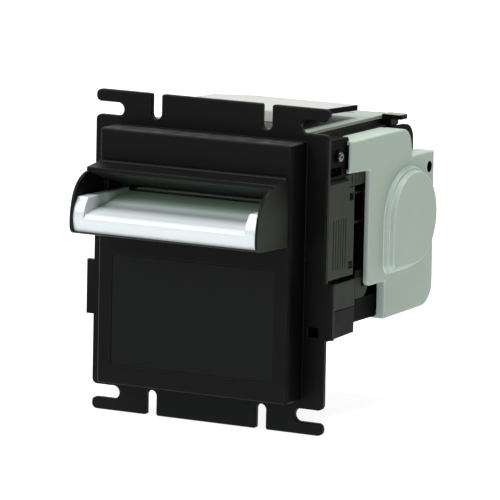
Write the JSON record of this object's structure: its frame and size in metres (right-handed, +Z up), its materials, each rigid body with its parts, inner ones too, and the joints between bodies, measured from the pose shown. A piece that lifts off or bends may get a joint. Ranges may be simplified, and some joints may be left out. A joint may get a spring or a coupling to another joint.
{
  "type": "bill validator",
  "caption": "Panel mounted bill validator with a drooping entry snout, white entry tray, side gear covers and a hinged top unit.",
  "frame": {"origin": "centre of the mounting flange's front face", "axes": "-Y out of the panel towards the user, +X to the user's right, +Z up"},
  "size_m": [0.119, 0.1525, 0.1384],
  "materials": {
    "bezel_black": "satin moulded",
    "label_film": "matt film",
    "white_tray": "gloss translucent white",
    "cover_grey": "matt moulded grey green",
    "cover_pale": "matt moulded warm grey",
    "frame_black": "matt moulded",
    "panel_olive": "matt moulded",
    "guide_black": "smooth",
    "lens_clear": "clear polished",
    "steel": "machined",
    "zinc_screw": "plated",
    "bronze": "sintered",
    "rubber_tyre": "matt rubber",
    "belt_rubber": "matt rubber",
    "gear_acetal": "smooth moulded",
    "brass": "machined",
    "board_green": "solder mask",
    "chip_black": "matt",
    "connector_white": "moulded",
    "button_black": "satin",
    "led_clear": "clear",
    "motor_steel": "drawn can"
  },
  "bodies": {
    "main_frame": {"faceplate": "bezel_black", "label_panel": "label_film", "mouth_shell": "bezel_black", "bill_tray": "white_tray", "entry_light_board": "board_green", "entry_leds": "led_clear", "front_frame": "frame_black", "bezel_screws": "zinc_screw", "side_plates": "frame_black", "front_brackets": "frame_black", "bracket_screws": "zinc_screw", "arm_clips": "panel_olive", "side_panels": "panel_olive", "front_collar": "panel_olive", "corner_guards": "panel_olive", "base_housing": "frame_black", "rear_wall": "frame_black", "exit_guide": "guide_black", "right_gear_cover": "cover_grey", "left_gear_cover": "cover_grey", "lower_guide": "guide_black", "lower_lenses": "lens_clear", "lower_sensor_board": "board_green", "shaft_bushes": "bronze", "drive_belt": "belt_rubber", "gear_stud": "steel", "drive_motor": "motor_steel", "motor_screws": "zinc_screw", "encoder_sensor": "chip_black", "main_board": "board_green", "board_standoffs": "connector_white", "board_chips": "chip_black", "main_connector": "connector_white", "mode_switch": "chip_black", "cross_pins": "steel", "hinge_pins": "steel"},
    "upper_unit": {"upper_frame": "frame_black", "top_cover": "cover_pale", "lid_base": "frame_black", "lid_plate": "cover_pale", "upper_guide": "guide_black", "upper_lenses": "lens_clear", "upper_sensor_board": "board_green", "pinch_axles": "steel"},
    "front_pinch": {"front_pinch_rollers": "gear_acetal"},
    "rear_pinch": {"rear_pinch_rollers": "gear_acetal"},
    "front_drive": {"front_drive_shaft": "steel", "front_drive_rollers": "rubber_tyre", "front_pulley": "gear_acetal", "encoder_disc": "chip_black"},
    "rear_drive": {"rear_drive_shaft": "steel", "rear_drive_rollers": "rubber_tyre", "rear_pulley": "gear_acetal", "shaft_gear": "gear_acetal"},
    "reduction": {"reduction_gear": "gear_acetal"},
    "motor_rotor": {"motor_shaft": "steel", "motor_pinion": "brass"},
    "latch": {"cover_latch": "frame_black"},
    "flap": {"pullback_flap": "gear_acetal"},
    "button": {"mode_button": "button_black"}
  },
  "joints": [
    {"name": "cover_hinge", "type": "hinge", "parent": "main_frame", "child": "upper_unit", "pos_m": [0, 0.011, 0.048], "axis": [1, 0, 0], "range_deg": [0, 45]},
    {"name": "rear_drive_spin", "type": "hinge", "parent": "main_frame", "child": "rear_drive", "pos_m": [0, 0.07202, 0.02105], "axis": [1, 0, 0], "continuous": true},
    {"name": "front_drive_spin", "type": "hinge", "parent": "main_frame", "child": "front_drive", "pos_m": [0, 0.026, 0.02105], "axis": [1, 0, 0], "continuous": true},
    {"name": "reduction_spin", "type": "hinge", "parent": "main_frame", "child": "reduction", "pos_m": [0.046, 0.0866, 0.0127], "axis": [1, 0, 0], "continuous": true},
    {"name": "motor_spin", "type": "hinge", "parent": "main_frame", "child": "motor_rotor", "pos_m": [0.046, 0.07359, -0.00031], "axis": [1, 0, 0], "continuous": true},
    {"name": "front_pinch_spin", "type": "hinge", "parent": "upper_unit", "child": "front_pinch", "pos_m": [0, 0.026, 0.03335], "axis": [1, 0, 0], "continuous": true},
    {"name": "rear_pinch_spin", "type": "hinge", "parent": "upper_unit", "child": "rear_pinch", "pos_m": [0, 0.07202, 0.03335], "axis": [1, 0, 0], "continuous": true},
    {"name": "latch_pivot", "type": "hinge", "parent": "main_frame", "child": "latch", "pos_m": [0, 0.096, 0.046], "axis": [-1, 0, 0], "range_deg": [0, 12], "stiffness_Nm_per_rad": 0.05, "springref_deg": -5.73},
    {"name": "flap_pivot", "type": "hinge", "parent": "main_frame", "child": "flap", "pos_m": [0, 0.0935, 0.0226], "axis": [-1, 0, 0], "range_deg": [0, 25], "stiffness_Nm_per_rad": 0.004, "springref_deg": -5.73},
    {"name": "button_press", "type": "slide", "parent": "main_frame", "child": "button", "axis": [-1, 0, 0], "range_m": [0, 0.0008], "stiffness_N_per_m": 400}
  ],
  "couplings": [
    {"joint": "front_drive_spin", "follows": "rear_drive_spin", "ratio": 1},
    {"joint": "reduction_spin", "follows": "rear_drive_spin", "ratio": -1.3333},
    {"joint": "motor_spin", "follows": "rear_drive_spin", "ratio": 4.8}
  ]
}
